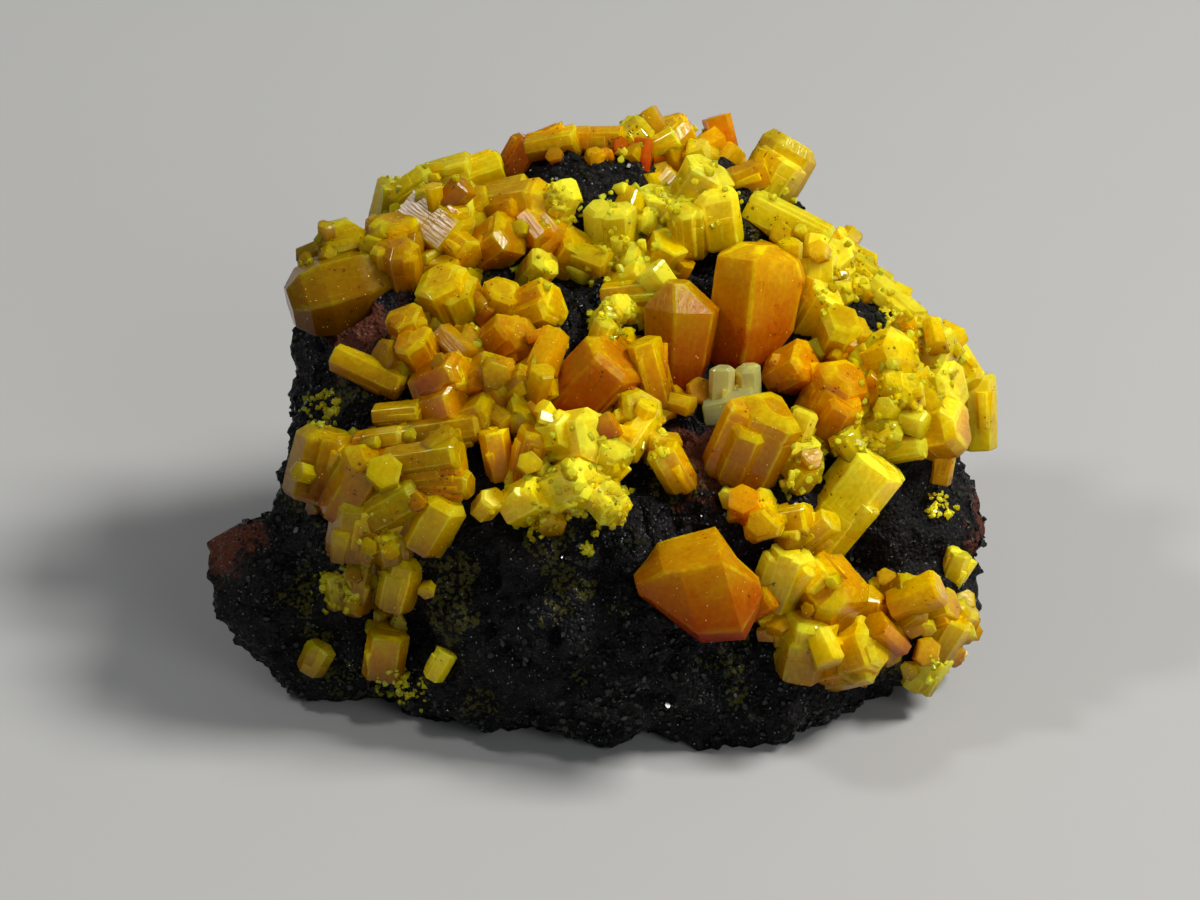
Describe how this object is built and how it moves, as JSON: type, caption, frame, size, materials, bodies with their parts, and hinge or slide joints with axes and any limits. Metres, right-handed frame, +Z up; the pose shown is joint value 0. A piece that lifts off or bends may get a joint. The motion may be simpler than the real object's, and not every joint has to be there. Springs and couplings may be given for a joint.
{
  "type": "mimetite on matrix",
  "caption": "Dark lumpy gossan matrix crusted on top and front with stout hexagonal mimetite crystals, orange to lemon yellow; rests on its flat foot.",
  "frame": {"origin": "middle of the specimen's footprint box, on the surface it rests on", "axes": "+X to the right along the specimen's width as its crystal side is faced, +Y to its back, +Z up"},
  "size_m": [0.0392, 0.0288, 0.0233],
  "materials": {
    "gossan": "dark brown-black iron oxide, rough, with glittering druse",
    "mimetite_orange": "translucent orange crystal, resinous lustre",
    "mimetite_amber": "translucent golden amber crystal, resinous lustre",
    "mimetite_lemon": "translucent lemon yellow crystal, resinous lustre"
  },
  "bodies": {
    "root": {"matrix_rock": "gossan", "big_orange_crystal": "mimetite_orange", "front_orange_crystal": "mimetite_orange", "upper_left_crystal": "mimetite_amber", "upper_left_cluster": "mimetite_amber", "middle_left_cluster": "mimetite_amber", "centre_left_cluster": "mimetite_amber", "centre_orange_crystal": "mimetite_orange", "lower_centre_cluster": "mimetite_lemon", "left_cluster": "mimetite_amber", "small_left_prism": "mimetite_amber", "top_middle_cluster": "mimetite_lemon", "level_gold_prism": "mimetite_lemon", "small_lemon_prism": "mimetite_lemon", "second_orange_crystal": "mimetite_orange", "centre_gold_prism": "mimetite_amber", "speckled_crystal": "mimetite_amber", "pale_twin_prisms": "mimetite_lemon", "right_cluster": "mimetite_amber", "right_edge_prisms": "mimetite_lemon", "upper_ridge_prism": "mimetite_lemon", "middle_ridge_prisms": "mimetite_lemon", "lower_ridge_prism": "mimetite_lemon", "centre_right_crystal": "mimetite_amber", "right_lemon_crystal": "mimetite_lemon", "right_small_prisms": "mimetite_amber", "lower_right_cluster": "mimetite_amber", "right_end_crystals": "mimetite_amber", "right_small_lemon": "mimetite_lemon", "knob_side_prism": "mimetite_amber", "low_left_olive_crystal": "mimetite_amber", "low_left_gold_crystal": "mimetite_amber", "foot_crystal_left": "mimetite_amber", "foot_crystal_right": "mimetite_lemon", "back_left_crust": "mimetite_lemon", "back_top_crust": "mimetite_amber", "back_right_tip": "mimetite_amber", "back_upper_cluster": "mimetite_amber", "back_low_prisms": "mimetite_lemon", "left_side_crystals": "mimetite_amber", "right_side_crystals": "mimetite_lemon"}
  },
  "joints": []
}
